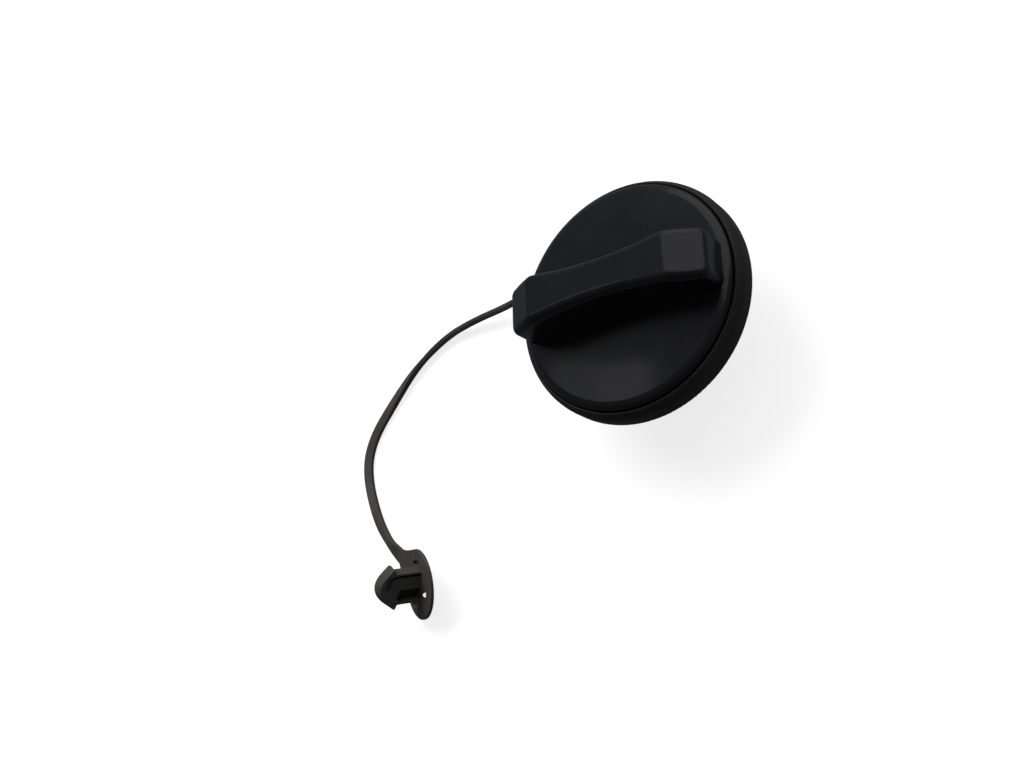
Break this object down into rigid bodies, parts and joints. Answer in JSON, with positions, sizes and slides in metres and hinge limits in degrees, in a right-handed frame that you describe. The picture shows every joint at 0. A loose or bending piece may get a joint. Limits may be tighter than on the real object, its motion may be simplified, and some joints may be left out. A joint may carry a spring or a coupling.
{
  "type": "fuel filler cap",
  "caption": "Round screw-in fuel filler cap with a waisted grip bar, ratchet head, relief valves, sealing gasket and a flexible tether ending in a push-in clip.",
  "frame": {"origin": "centre of the neck's lower end, on the surface the cap stands on", "axes": "+Z is the cap's axis, from the neck to the face; +X runs along the grip bar; +Y completes a right-handed frame"},
  "size_m": [0.1686, 0.1193, 0.0475],
  "materials": {
    "cover_plastic": "semi-gloss moulded black with faint scuffs",
    "shell_plastic": "fine grained matte black",
    "neck_plastic": "moulded black, glass filled",
    "valve_plastic": "dark grey moulded",
    "acetal_white": "natural acetal",
    "nylon_washer": "natural nylon",
    "spring_steel": "bright drawn wire",
    "seal_rubber": "black nitrile rubber",
    "tether_plastic": "soft flexible black-grey plastic"
  },
  "bodies": {
    "neck": {"neck_body": "neck_plastic", "gasket": "seal_rubber", "ratchet_wheel": "acetal_white", "retaining_ring": "spring_steel", "valve_housing": "valve_plastic", "housing_oring": "seal_rubber", "spring_retainer": "valve_plastic"},
    "knob": {"cover": "cover_plastic", "outer_shell": "shell_plastic", "pawl_ring": "acetal_white", "thrust_washer": "nylon_washer"},
    "tether": {"tether_ring": "tether_plastic", "tether_strap": "tether_plastic", "tether_clip": "tether_plastic"},
    "pressure_valve": {"pressure_plate": "acetal_white", "pressure_seal": "seal_rubber", "pressure_spring": "spring_steel"},
    "vacuum_valve": {"vacuum_valve": "valve_plastic", "vacuum_spring_cap": "acetal_white", "vacuum_spring": "spring_steel"}
  },
  "joints": [
    {"name": "knob_ratchet", "type": "hinge", "parent": "neck", "child": "knob", "pos_m": [0, 0, 0.0255], "axis": [0, 0, 1], "continuous": true},
    {"name": "tether_swivel", "type": "hinge", "parent": "neck", "child": "tether", "pos_m": [0, 0, 0.0194], "axis": [0, 0, 1], "continuous": true},
    {"name": "pressure_relief", "type": "slide", "parent": "neck", "child": "pressure_valve", "axis": [0, 0, 1], "range_m": [0, 0.002], "stiffness_N_per_m": 1500, "springref_m": -0.004, "deforming": ["pressure_spring"]},
    {"name": "vacuum_relief", "type": "slide", "parent": "pressure_valve", "child": "vacuum_valve", "axis": [0, 0, -1], "range_m": [0, 0.0013], "stiffness_N_per_m": 150, "springref_m": -0.002, "deforming": ["vacuum_spring"]}
  ]
}
